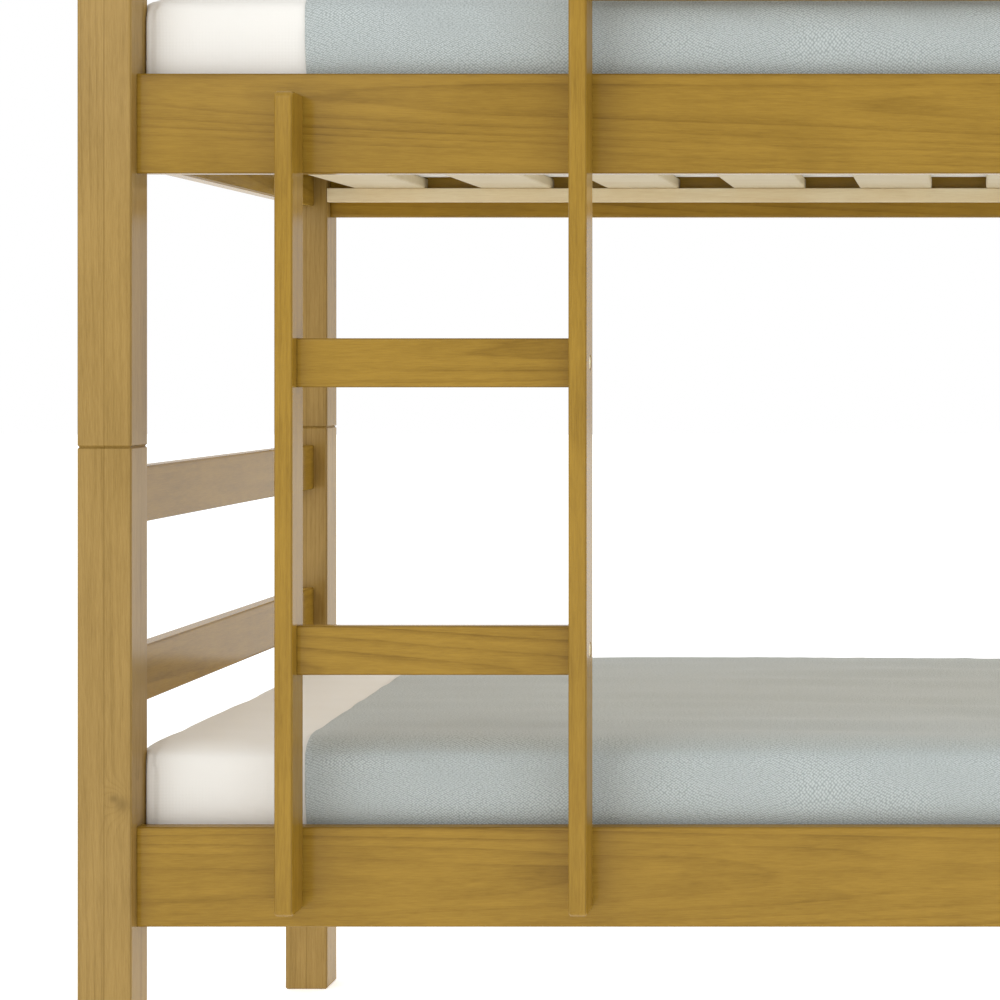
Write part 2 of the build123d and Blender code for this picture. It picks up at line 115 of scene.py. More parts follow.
class PineSettings(bpy.types.PropertyGroup):
    """Colours and figure of the timber"""

    stain: colour_property("Stain", "Spring wood of the rails under the honey stain", "#9E7C2C")
    stain_late: colour_property("Stain, late wood", "Summer wood of the rails", "#6F510F")
    post: colour_property("Post", "Spring wood of the posts under the honey stain", "#A28449")
    post_late: colour_property("Post, late wood", "Summer wood of the posts", "#755A24")
    raw: colour_property("Slat", "Spring wood of the unfinished slats", "#D2C6A9")
    raw_late: colour_property("Slat, late wood", "Summer wood of the slats", "#BDA67C")
    ledger: colour_property("Ledger", "Spring wood of the unfinished ledgers", "#EADBB8")
    ledger_late: colour_property("Ledger, late wood", "Summer wood of the ledgers", "#D3BA8B")
    beech: colour_property("Dowel", "Beech of the dowels", "#D2B48A")
    beech_late: colour_property("Dowel, flecks", "Ray flecks of the dowels", "#B08E60")
    ring: length_property("Growth ring", "Width of one growth ring", 7)
    fibre: length_property("Fibre", "Width of a fibre streak", 1.2)
    coat: FloatProperty(
        name="Varnish",
        description="Weight of the clear varnish",
        subtype="FACTOR",
        min=0,
        max=1,
        default=0.62,
    )


class HardwareSettings(bpy.types.PropertyGroup):
    """Colours of the metal and plastic pieces"""

    zinc: colour_property("Zinc", "Zinc-plated steel", "#BDBCB6")
    zinc_shade: colour_property("Zinc, clouds", "The darker clouds in the zinc", "#A9A79C")
    cap: colour_property("Cap", "Cream plastic of the bolt caps", "#E9DDB8")
    cap_shade: colour_property("Cap, shade", "The darker flow marks in the caps", "#DCCB9B")
    screw_turn: FloatProperty(
        name="Screw turn",
        description="The most that a screw's cross is turned from square",
        subtype="ANGLE",
        min=0,
        default=math.pi / 2,
    )


class BeddingSettings(bpy.types.PropertyGroup):
    """Sizes and colours of the mattresses and coverlets"""

    cotton: colour_property("Cotton", "White cotton of the mattress cover", "#EAE8E3")
    yarn: colour_property("Yarn", "Light blue-grey yarn of the coverlet", "#C2C9C9")
    # Painted shade: the yarn's colour darkened for the hollows between the ribs, where shade falls.
    yarn_painted_hollow_shade: colour_property("Yarn, between ribs", "The coverlet's yarn between its ribs", "#98A09F")
    stitch_length: length_property("Stitch length", "From a stitch to the next one along its row", 4.4)
    stitch_height: length_property("Stitch height", "From a row to the second row above it", 2.9)
    cover_thickness: length_property("Coverlet thickness", "Thickness of the coverlet", 3)
    cell: length_property("Cell", "Size of the mattress's mesh cells before smoothing", 14)
    swell: length_property("Swell", "The most that the filling pushes the cover out", 5)
    frames: IntProperty(name="Steps", description="Steps of each cloth simulation", min=1, default=20)


class StageSettings(bpy.types.PropertyGroup):
    """Camera and light"""

    distance: length_property("Distance", "From the camera to the front of the posts", 2966)
    height: length_property("Height", "Camera height above the floor", 902)
    lens: FloatProperty(name="Lens", description="Focal length in millimetres", min=1, default=96.9)
    sky: FloatProperty(name="Sky", description="Brightness of the studio all round", min=0, default=1.0)
    key: FloatProperty(name="Key", description="Power of the soft key light in watts", min=0, default=20)
    glow: FloatProperty(
        name="Glow",
        description="Power of the warm light over the lower berth in watts",
        min=0,
        default=1.3,
    )
    shift_x: FloatProperty(name="Shift across", description="Camera shift across", default=-0.4697)
    shift_y: FloatProperty(name="Shift up", description="Camera shift up", default=-0.1381)


# ---------------------------------------------------------------- shader nodes

MATH = "ShaderNodeMath"
VECTOR = "ShaderNodeVectorMath"
MIX = "ShaderNodeMix"
RAMP = "ShaderNodeValToRGB"
NOISE = "ShaderNodeTexNoise"
WAVE = "ShaderNodeTexWave"
BUMP = "ShaderNodeBump"
COORDINATES = "ShaderNodeTexCoord"
# A Wave Texture whose scale is this over a length repeats once in that length.
WAVE_PERIOD = 2 * math.pi / 20


def add_node(tree, kind, inputs=(), stops=(), **settings):
    """Add a node with its settings and a ramp's grey stops, and fill or link its inputs, by name or in
    order. A node that is given as an input stands for its first output in use."""
    node = tree.nodes.new(kind)
    for name, value in settings.items():
        setattr(node, name, value)
    sockets = [socket for socket in node.inputs if socket.enabled]
    named = inputs.items() if isinstance(inputs, dict) else zip(sockets, inputs)
    for key, value in named:
        socket = node.inputs[key] if isinstance(key, str) else key
        if isinstance(value, bpy.types.Node):
            value = next(output for output in value.outputs if output.enabled)
        if isinstance(value, bpy.types.NodeSocket):
            tree.links.new(value, socket)
        else:
            socket.default_value = value
    elements = node.color_ramp.elements if stops else ()
    while len(elements) < len(stops):
        elements.new(1.0)
    for element, (position, grey) in zip(elements, stops):
        element.position = position
        element.color = (grey, grey, grey, 1.0)
    return node


def new_material(name, **sockets):
    """A material with a Principled shader whose even values sit on its own sockets."""
    material = bpy.data.materials.new(name)
    material.use_nodes = True
    tree = material.node_tree
    tree.nodes.clear()
    surface = add_node(tree, "ShaderNodeBsdfPrincipled", sockets)
    add_node(tree, "ShaderNodeOutputMaterial", {"Surface": surface})
    return material, surface, partial(add_node, tree)


def drive(surface, **sources):
    """Link nodes to a shader's sockets. An underscore in a name stands for a space."""
    for name, source in sources.items():
        output = next(output for output in source.outputs if output.enabled)
        surface.id_data.links.new(output, surface.inputs[name.replace("_", " ")])


def shaded(colour, share):
    """A darker colour."""
    return tuple(channel * share for channel in colour[:3]) + (1.0,)


# ---------------------------------------------------------------- timber

GRAIN_TURNS = ((0, 0, 0), (0, 0, math.pi / 2), (0, -math.pi / 2, 0))
# The figure is drawn this many times longer along the trunk than across it.
GRAIN_STRETCH = 15
GRAIN_SLOPE = math.radians(1.6)
PITH_DEPTH = (45 * MM, 90 * MM)
PITH_ASIDE = 30 * MM
TONE_SPREAD = 0.04
STAVE_OFFSET = 13 * MM
GLUE_LINE = 0.5 * MM
# Sizes of the rings' wander, of the patches where they show, and of the stain's mottle.
WANDER = 90.909 * MM
PATCH = 38.462 * MM
MOTTLE = 111.11 * MM
# Width of the darker band along each board's edge.
ARRIS = 1.9 * MM
# Greys along one growth ring: pale spring wood, then a dark summer line with a sharp outer edge.
RING_PROFILE = ((0.0, 0.12), (0.45, 0.0), (0.82, 0.62), (0.93, 1.0), (1.0, 0.12))
PATCH_PROFILE = ((0.38, 0.12), (0.66, 1.0))
# How far a knot darkens and bends the wood round it, in squared radii, and by how much.
KNOT_CORE = -1.2
KNOT_HALO = -0.16
KNOT_BEND = 14.0
KNOT_SHADE = 0.4
# How far the rings wander, in radians, and how many fibres wide a streak is.
RING_WANDER = 26.0
STREAK = 9
STAINED = "Honey-stained pine"
PLANED = "Raw planed pine"
BEECH = "Beech dowel"
RAILS = ("_side_rail_", "_end_rail", "_bar", "guard_rail_")
# Knots that show on outer faces: node, place across and up the face in millimetres, radius.
KNOTS = {
    "lower_post_front_left": (((50, 0, 414), 9), ((41, 0, 421), 5)),
    "lower_post_front_right": (((1930, 0, 260), 8),),
    "upper_post_rear_right": (((1940, 964, 1240), 9),),
    "lower_side_rail_rear": (((1300, 945, 350), 10),),
}


def bed_point(millimetres):
    """A point in the frame, from its distance along the bed, behind the front of the posts and up."""
    front_left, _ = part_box("lower_post_front_left")
    return Vector((front_left.x, front_left.y, 0)) + Vector(millimetres) * MM


def grain_of(node):
    """The axis that a board's fibres follow, its thinnest axis, and its centre."""
    low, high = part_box(node)
    size = high - low
    return list(size).index(max(size)), list(size).index(min(size)), (low + high) / 2


def grain_coordinates(add, point, board, rng):
    """Coordinates in the log that the board was sawn from: X up the trunk, the pith at the origin."""
    axis, thin, centre = grain_of(board)
    wide = 3 - axis - thin
    pith = centre.copy()
    pith[thin] += rng.choice((-1, 1)) * rng.uniform(*PITH_DEPTH)
    pith[wide] += rng.uniform(-1, 1) * PITH_ASIDE
    turn = Vector(GRAIN_TURNS[axis])
    turn.y += rng.uniform(-1, 1) * GRAIN_SLOPE
    turn.z += rng.uniform(-1, 1) * GRAIN_SLOPE
    inputs = {"Vector": point, "Location": pith, "Rotation": turn, "Scale": (GRAIN_STRETCH, 1, 1)}
    log = add("ShaderNodeMapping", inputs, vector_type="TEXTURE")
    return add(VECTOR, (log, (rng.uniform(-9, 9), 0, 0)), operation="ADD")


def knot_fields(add, point, knots):
    """How much of a knot there is at a point, and how far it bends the rings round it."""
    inside = 0.0
    bend = 0.0
    for place, radius in knots:
        distance = add(VECTOR, (point, bed_point(place)), operation="DISTANCE")
        near = add(MATH, (distance, radius * MM), operation="DIVIDE")
        squared = add(MATH, (near, near), operation="MULTIPLY")
        core_depth = add(MATH, (squared, KNOT_CORE), operation="MULTIPLY")
        halo_depth = add(MATH, (squared, KNOT_HALO), operation="MULTIPLY")
        core = add(MATH, (core_depth,), operation="EXPONENT")
        halo = add(MATH, (halo_depth,), operation="EXPONENT")
        inside = add(MATH, (core, inside), operation="ADD")
        bend = add(MATH, (halo, KNOT_BEND, bend), operation="MULTIPLY_ADD")
    return inside, bend


def arris_field(add, point, board):
    """1 along a board's edges and 0 away from them: where the colour is darkened."""
    low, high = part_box(board)
    offset = add(VECTOR, (point, (low + high) / 2), operation="SUBTRACT")
    from_centre = add(VECTOR, (offset,), operation="ABSOLUTE")
    depth = add(VECTOR, ((high - low) / 2, from_centre), operation="SUBTRACT")
    x, y, z = add("ShaderNodeSeparateXYZ", (depth,)).outputs
    nearer = add(MATH, (x, y), operation="MINIMUM")
    further = add(MATH, (x, y), operation="MAXIMUM")
    inner = add(MATH, (further, z), operation="MINIMUM")
    second = add(MATH, (nearer, inner), operation="MAXIMUM")
    share = add(MATH, (second, ARRIS), operation="DIVIDE")
    return add(MATH, (1.0, share), operation="SUBTRACT", use_clamp=True)


def timber_material(name, board, early, late, seed, coat, figure, glued=False):
    """Flat-sawn timber for one board. Broad rings run into arches where the saw grazed them, with long
    fibre streaks between; varnished boards mirror the studio at a grazing angle."""
    settings = bpy.context.scene.bunkbed_pine
    rng = random.Random(seed)
    tone = 1 + rng.uniform(-TONE_SPREAD, TONE_SPREAD)
    sockets = {"IOR": 1.45, "Specular IOR Level": 0.0 if coat else 0.3}
    sockets |= {"Coat Weight": coat, "Coat Roughness": 0.16, "Coat IOR": 1.4}
    material, surface, add = new_material(name, **sockets)
    point = add(COORDINATES).outputs["Object"]
    sawn = point
    if glued:
        across = add("ShaderNodeSeparateXYZ", (point,)).outputs["X"]
        middle = grain_of(board)[2].x
        offset = add(MATH, (across, middle), operation="SUBTRACT")
        side = add(MATH, (offset,), operation="SIGN")
        stave = add(MATH, (side, STAVE_OFFSET), operation="MULTIPLY")
        shift = add("ShaderNodeCombineXYZ", {"Y": stave, "Z": stave})
        sawn = add(VECTOR, (point, shift), operation="ADD")
    log = grain_coordinates(add, sawn, board, rng)

    knot, bend = knot_fields(add, point, KNOTS.get(board, ()))
    drift = add(NOISE, {"Vector": log, "Scale": 1 / WANDER, "Detail": 2.0})
    phase = add(MATH, (drift, RING_WANDER, bend), operation="MULTIPLY_ADD")
    inputs = {"Vector": log, "Scale": WAVE_PERIOD / settings.ring, "Phase Offset": phase}
    inputs |= {"Distortion": 1.4, "Detail": 3.0, "Detail Scale": 1.6}
    rings = add(WAVE, inputs, wave_type="RINGS", rings_direction="X", wave_profile="SAW")
    ring = add(RAMP, (rings.outputs["Fac"],), stops=RING_PROFILE)
    patch = add(NOISE, {"Vector": log, "Scale": 1 / PATCH, "Detail": 1.0})
    strength = add(RAMP, (patch,), stops=PATCH_PROFILE)

    fine = add(VECTOR, (log, (0.8, 1, 1)), operation="MULTIPLY")
    fibre_scale = 1 / settings.fibre
    fibres = add(NOISE, {"Vector": fine, "Scale": fibre_scale, "Detail": 5.0, "Roughness": 0.7})
    streaks = add(NOISE, {"Vector": log, "Scale": fibre_scale / STREAK, "Detail": 2.0})
    mottle = add(NOISE, {"Vector": point, "Scale": 1 / MOTTLE, "Detail": 2.0})

    marked = add(MATH, (ring, strength), operation="MULTIPLY")
    dark = add(MATH, (marked, figure), operation="MULTIPLY")
    for field, share in ((fibres, 1.15), (streaks, 0.6), (mottle, 0.5)):
        centred = add(MATH, (field, 0.5), operation="SUBTRACT")
        dark = add(MATH, (centred, share, dark), operation="MULTIPLY_ADD")
    dark = add(MATH, (dark, 0.2), operation="ADD", use_clamp=True)
    light = tuple(min(1.0, channel * tone) for channel in early[:3]) + (1.0,)
    colour = add(MIX, (dark, light, tuple(late)), data_type="RGBA")
    if knot:
        shade = add(MATH, (knot, KNOT_SHADE), operation="MULTIPLY", use_clamp=True)
        colour = add(MIX, (shade, colour, shaded(late, 0.55)), data_type="RGBA")
    if glued:
        distance = add(MATH, (offset,), operation="ABSOLUTE")
        joint = add(MATH, (distance, GLUE_LINE), operation="LESS_THAN")
        line = add(MATH, (joint, 0.6), operation="MULTIPLY")
        colour = add(MIX, (line, colour, tuple(late)), data_type="RGBA")
    if coat:
        # The colour is darkened along the board's edges.
        darker_edge_share = add(MATH, (arris_field(add, point, board), 0.65), operation="MULTIPLY")
        colour = add(MIX, (darker_edge_share, colour, shaded(late, 0.6)), data_type="RGBA")
    rough = add(MATH, (fibres, 0.14, 0.36 if coat else 0.5), operation="MULTIPLY_ADD")
    depth = 0.12 * MM if coat else 0.3 * MM
    grain = add(BUMP, {"Height": fibres, "Distance": depth, "Strength": 0.5})
    drive(surface, Base_Color=colour, Roughness=rough, Normal=grain)
    return material


def finish_boards(slot, words, label, colours, coat, figure):
    """Give each board of a slot whose name holds one of the words its own cut of timber."""
    for seed, node in enumerate(sorted(NODES)):
        if SLOTS[node] == slot and any(word in node for word in words):
            glued = "_post_" in node
            material = timber_material(f"{label}, {node}", node, *colours, seed, coat, figure, glued)
            NODES[node].data.materials.clear()
            NODES[node].data.materials.append(material)


class BUNKBED_OT_posts(bpy.types.Operator):
    """Cut the posts from pairs of glued staves in stained pine"""

    bl_idname = "bunkbed.posts"
    bl_label = "Posts"

    def execute(self, context):
        pine = context.scene.bunkbed_pine
        finish_boards("stained_pine", ("_post_",), STAINED, (pine.post, pine.post_late), pine.coat, 0.3)
        return {"FINISHED"}


class BUNKBED_OT_rails(bpy.types.Operator):
    """Cut the side rails, end rails, end bars and guard rails from stained pine"""

    bl_idname = "bunkbed.rails"
    bl_label = "Rails and bars"

    def execute(self, context):
        pine = context.scene.bunkbed_pine
        finish_boards("stained_pine", RAILS, STAINED, (pine.stain, pine.stain_late), pine.coat, 0.5)
        return {"FINISHED"}


class BUNKBED_OT_ladder(bpy.types.Operator):
    """Cut the ladder's rungs and its plainer stiles from stained pine"""

    bl_idname = "bunkbed.ladder"
    bl_label = "Ladder"

    def execute(self, context):
        pine = context.scene.bunkbed_pine
        stain = (pine.stain, pine.stain_late)
        finish_boards("stained_pine", ("_rung_",), STAINED, stain, pine.coat, 0.5)
        finish_boards("stained_pine", ("_stile_",), STAINED, stain, pine.coat, 0.2)
        return {"FINISHED"}


class BUNKBED_OT_slats(bpy.types.Operator):
    """Cut the slats and the ledgers that carry them from unfinished pine"""

    bl_idname = "bunkbed.slats"
    bl_label = "Slats and ledgers"

    def execute(self, context):
        pine = context.scene.bunkbed_pine
        finish_boards("raw_pine", ("_slats",), PLANED, (pine.raw, pine.raw_late), 0.0, 0.5)
        finish_boards("raw_pine", ("_ledger_",), PLANED, (pine.ledger, pine.ledger_late), 0.0, 0.4)
        return {"FINISHED"}


class BUNKBED_OT_dowels(bpy.types.Operator):
    """Turn the dowels from beech"""

    bl_idname = "bunkbed.dowels"
    bl_label = "Dowels"

    def execute(self, context):
        pine = context.scene.bunkbed_pine
        finish_boards("beech_dowel", ("_dowels",), BEECH, (pine.beech, pine.beech_late), 0.0, 0.2)
        return {"FINISHED"}


# ---------------------------------------------------------------- hardware

SPANGLE = 5 / 3 * MM
ORANGE_PEEL = 2 / 3 * MM
WELD = 0.01 * MM
SCREW_SEED = 4
SCREW_SIDES = 24
SCREW_HEAD = 4 * MM
SCREW_SHANK = 2 * MM
SCREW_TIP = 3 * MM
CROSS_REACH = 2.3 * MM
CROSS_WIDTH = 0.55 * MM
CROSS_DEPTH = 1.6 * MM
CROSS_TAPER = 0.45


def zinc_steel():
    """Zinc-plated steel: a clear metal with a faint cloudy spangle that varies its gloss."""
    hardware = bpy.context.scene.bunkbed_hardware
    material, surface, add = new_material("Zinc-plated steel", Metallic=1.0)
    point = add(COORDINATES).outputs["Object"]
    spangle = add(NOISE, {"Vector": point, "Scale": 1 / SPANGLE, "Detail": 3.0})
    tint = add(MIX, (spangle, tuple(hardware.zinc), tuple(hardware.zinc_shade)), data_type="RGBA")
    rough = add(MATH, (spangle, 0.25, 0.2), operation="MULTIPLY_ADD")
    relief = add(BUMP, {"Height": spangle, "Distance": 0.03 * MM, "Strength": 0.4})
    drive(surface, Base_Color=tint, Roughness=rough, Normal=relief)
    return material


def cap_plastic():
    """Moulded polyethylene: waxy and faintly orange-peeled, with a soft broad highlight."""
    hardware = bpy.context.scene.bunkbed_hardware
    sockets = {"Roughness": 0.42, "IOR": 1.51, "Subsurface Weight": 0.15, "Subsurface Scale": 1.0 * MM}
    material, surface, add = new_material("Cream polyethylene", **sockets)
    point = add(COORDINATES).outputs["Object"]
    peel = add(NOISE, {"Vector": point, "Scale": 1 / ORANGE_PEEL, "Detail": 2.0})
    tint = add(MIX, (peel, tuple(hardware.cap), tuple(hardware.cap_shade)), data_type="RGBA")
    relief = add(BUMP, {"Height": peel, "Distance": 0.04 * MM, "Strength": 0.5})
    drive(surface, Base_Color=tint, Normal=relief)
    return material


def loose_parts(node):
    """The boxes of a node's separate solids, in a steady order."""
    mesh = bmesh.new()
    mesh.from_mesh(NODES[node].data)
    bmesh.ops.remove_doubles(mesh, verts=mesh.verts, dist=WELD)
    unseen = set(mesh.verts)
    boxes = []
    while unseen:
        stack = [unseen.pop()]
        points = []
        while stack:
            vertex = stack.pop()
            points.append(vertex.co.copy())
            near = [edge.other_vert(vertex) for edge in vertex.link_edges]
            fresh = [other for other in near if other in unseen]
            unseen.difference_update(fresh)
            stack.extend(fresh)
        low = Vector(map(min, zip(*points)))
        high = Vector(map(max, zip(*points)))
        boxes.append((low, high))
    mesh.free()
    return sorted(boxes, key=lambda box: tuple(round(value, 4) for value in box[0]))


def screw_mesh(length):
    """A cross-head wood screw along -Z: a lathe profile with a tapered cross pressed into its head."""
    edge = 0.15 * MM
    profile = [
        (SCREW_HEAD - edge, 0.0),
        (SCREW_HEAD, -edge),
        (SCREW_SHANK, SCREW_SHANK - SCREW_HEAD),
        (SCREW_SHANK, SCREW_TIP - length),
        (2 * edge, -length),
    ]
    mesh = bmesh.new()
    turn = [2 * math.pi * i / SCREW_SIDES for i in range(SCREW_SIDES)]
    rings = []
    for radius, z in profile:
        rings.append([mesh.verts.new((radius * math.cos(a), radius * math.sin(a), z)) for a in turn])
    for upper, lower in zip(rings, rings[1:]):
        for i in range(SCREW_SIDES):
            j = (i + 1) % SCREW_SIDES
            mesh.faces.new((upper[i], lower[i], lower[j], upper[j]))
    mesh.faces.new(list(reversed(rings[-1])))
    cross = []
    for quarter in range(4):
        a = math.pi / 2 * quarter
        along = Vector((math.cos(a), math.sin(a), 0))
        aside = Vector((-math.sin(a), math.cos(a), 0))
        cross.append(along * CROSS_REACH - aside * CROSS_WIDTH)
        cross.append(along * CROSS_REACH + aside * CROSS_WIDTH)
        cross.append((along + aside) * CROSS_WIDTH)
    rim = [mesh.verts.new(point) for point in cross]
    floor = [mesh.verts.new(point * CROSS_TAPER - Vector((0, 0, CROSS_DEPTH))) for point in cross]
    for i in range(len(cross)):
        j = (i + 1) % len(cross)
        mesh.faces.new((rim[j], floor[j], floor[i], rim[i]))
    mesh.faces.new(floor)
    edges = []
    for loop in (rings[0], rim):
        edges += [mesh.edges.get(pair) for pair in zip(loop, loop[1:] + loop[:1])]
    bmesh.ops.triangle_fill(mesh, use_beauty=True, edges=edges, normal=(0, 0, 1))
    bmesh.ops.recalc_face_normals(mesh, faces=mesh.faces)
    data = bpy.data.meshes.new("screw")
    mesh.to_mesh(data)
    mesh.free()
    return data


def repeat_tree():
    """Geometry Nodes: a template on every point, facing the point's way and turned at random."""
    tree = bpy.data.node_groups.new("Repeat on points", "GeometryNodeTree")
    kinds = {"Geometry": "Geometry", "Template": "Object", "Turn": "Float", "Finish": "Material"}
    for name, kind in kinds.items():
        tree.interface.new_socket(name, in_out="INPUT", socket_type=f"NodeSocket{kind}")
    tree.interface.new_socket("Geometry", in_out="OUTPUT", socket_type="NodeSocketGeometry")
    add = partial(add_node, tree)
    given = add("NodeGroupInput").outputs
    facing = add("GeometryNodeInputNamedAttribute", {"Name": "facing"}, data_type="FLOAT_VECTOR")
    aligned = add("FunctionNodeAlignRotationToVector", {"Vector": facing}, axis="Z")
    chance = add("FunctionNodeRandomValue", (0.0, given["Turn"]), data_type="FLOAT")
    chance.inputs["Seed"].default_value = SCREW_SEED
    euler = add("ShaderNodeCombineXYZ", {"Z": chance})
    spin = add("FunctionNodeEulerToRotation", (euler,))
    turned = add("FunctionNodeRotateRotation", (aligned, spin), rotation_space="LOCAL")
    template = add("GeometryNodeObjectInfo", {"Object": given["Template"]})
    inputs = {"Points": given["Geometry"], "Instance": template.outputs["Geometry"], "Rotation": turned}
    placed = add("GeometryNodeInstanceOnPoints", inputs)
    real = add("GeometryNodeRealizeInstances", (placed,))
    finished = add("GeometryNodeSetMaterial", {"Geometry": real, "Material": given["Finish"]})
    add("NodeGroupOutput", {"Geometry": finished})
    return tree


def evaluated_mesh(obj):
    """The mesh of an object with its modifiers applied."""
    depsgraph = bpy.context.evaluated_depsgraph_get()
    depsgraph.update()
    return bpy.data.meshes.new_from_object(obj.evaluated_get(depsgraph), depsgraph=depsgraph)


def body_of(node):
    """The body that a node belongs to."""
    return next(body for body, members in BODIES.items() if node in members)


def repeated_piece(name, places, tree, inputs):
    """One mesh with the tree's template at every (point, direction)."""
    points = bpy.data.meshes.new(name)
    points.from_pydata([place for place, _ in places], [], [])
    facing = points.attributes.new("facing", "FLOAT_VECTOR", "POINT")
    facing.data.foreach_set("vector", [value for _, way in places for value in way])
    piece = bpy.data.objects.new(name, points)
    bpy.context.scene.collection.objects.link(piece)
    modifier = piece.modifiers.new("Repeat", "NODES")
    modifier.node_group = tree
    for item in tree.interface.items_tree:
        if item.in_out == "INPUT" and item.name in inputs:
            modifier[item.identifier] = inputs[item.name]
    mesh = evaluated_mesh(piece)
    piece.modifiers.clear()
    piece.data = mesh
    return piece


def screw_places(node):
    """The head of every screw in a node, and the way it faces: up in slats, back in guard rails."""
    places = []
    for low, high in loose_parts(node):
        middle = (low + high) / 2
        if node.startswith("guard"):
            places.append((Vector((middle.x, high.y, middle.z)), (0, 1, 0)))
        else:
            places.append((Vector((middle.x, middle.y, high.z)), (0, 0, 1)))
    return places


class BUNKBED_OT_fittings(bpy.types.Operator):
    """Finish the bolts, nuts and pins in zinc and the bolt caps in cream plastic"""

    bl_idname = "bunkbed.fittings"
    bl_label = "Bolts, nuts, pins and caps"

    def execute(self, context):
        finishes = {"steel": zinc_steel(), "cap_plastic": cap_plastic()}
        for node, slot in SLOTS.items():
            if slot in finishes:
                NODES[node].data.materials.clear()
                NODES[node].data.materials.append(finishes[slot])
        return {"FINISHED"}


class BUNKBED_OT_screws(bpy.types.Operator):
    """Set a cross-head screw in every screw hole of the slats and guard rails"""

    bl_idname = "bunkbed.screws"
    bl_label = "Screws"

    def execute(self, context):
        steel = bpy.data.materials["Zinc-plated steel"]
        turn = context.scene.bunkbed_hardware.screw_turn
        tree = repeat_tree()
        for node in sorted(n for n in NODES if n.endswith("_screws")):
            low, high = loose_parts(node)[0]
            template = bpy.data.objects.new("screw_template", screw_mesh(max(high - low)))
            inputs = {"Template": template, "Turn": turn, "Finish": steel}
            piece = repeated_piece(f"{node}_cross_head", screw_places(node), tree, inputs)
            bpy.data.objects.remove(template)
            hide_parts(node)
            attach(piece, body_of(node))
        return {"FINISHED"}


# ---------------------------------------------------------------- bedding

# Real percale has about 0.25 mm threads. They are drawn at 1.6 mm, the finest that shows.
THREAD = 1.6 * MM
SLUB = 71.43 * MM
# The blanket's rows wander by this much over this span, so they lean one way or the other.
ROW_WANDER = 70 * MM
ROW_SPAN = 166.67 * MM
FUZZ = 1.4286 * MM
# The mattress's first block: its play in the berth, and the radii of its upright and level edges.
END_PLAY = 3 * MM
SIDE_PLAY = 2 * MM
UPRIGHT_RADIUS = 12 * MM
RIM_RADIUS = 16 * MM
# Filling: Blender's pressure, and how much of a move towards the middle its firm edges allow.
PRESSURE = 4
GIVE = 0.15
# Gaps that the cover keeps from the end rails, the posts and the side rails.
END_GAP = 1 * MM
POST_GAP = 0.8 * MM
RAIL_GAP = 2.2 * MM
# Upright folds at the corners: place beside the post, width, reach from the corner and depth.
CREASE_PLACE = 10 * MM
CREASE_WIDTH = 6 * MM
CREASE_REACH = 30 * MM
CREASE_DEPTH = 0.9 * MM
CORNER_REACH = 90 * MM
# Shallow waves on top: how many, their height as a share of their length, and how they fade.
WAVES = 9
WAVE_HEIGHT = 0.006
SIDE_FADE = 60 * MM
END_FADE = 160 * MM
# The coverlet: its mesh spacing, and the path round the mattress that it is laid along. The path
# runs outside the mattress, so it is longer than the cloth.
CLOTH_SPACING = 13 * MM
LAY_ASIDE = 10 * MM
LAY_ABOVE = 12 * MM
LAY_CORNER = 34 * MM
LAY_TOUCH = 0.4 * MM
TUCKED_ROWS = 3
SLACK = 0.006


def cotton():
    """White cotton percale: matt, faintly fuzzy at the edge, its weave just breaking the light."""
    colour = tuple(bpy.context.scene.bunkbed_bedding.cotton)
    sockets = {"Roughness": 0.85, "Specular IOR Level": 0.2}
    sockets |= {"Sheen Weight": 0.25, "Sheen Roughness": 0.5}
    material, surface, add = new_material("White cotton percale", **sockets)
    point = add(COORDINATES).outputs["Object"]
    weave = 0.0
    for direction in "XYZ":
        inputs = {"Vector": point, "Scale": WAVE_PERIOD / THREAD, "Distortion": 1.0, "Detail Scale": 0.3}
        threads = add(WAVE, inputs, bands_direction=direction)
        weave = add(MATH, (threads.outputs["Fac"], weave), operation="ADD")
    slub = add(NOISE, {"Vector": point, "Scale": 1 / SLUB, "Detail": 3.0})
    tint = add(MIX, (slub, colour, shaded(colour, 0.955)), data_type="RGBA")
    relief = add(BUMP, {"Height": weave, "Distance": 0.12 * MM, "Strength": 0.5})
    drive(surface, Base_Color=tint, Normal=relief)
    return material


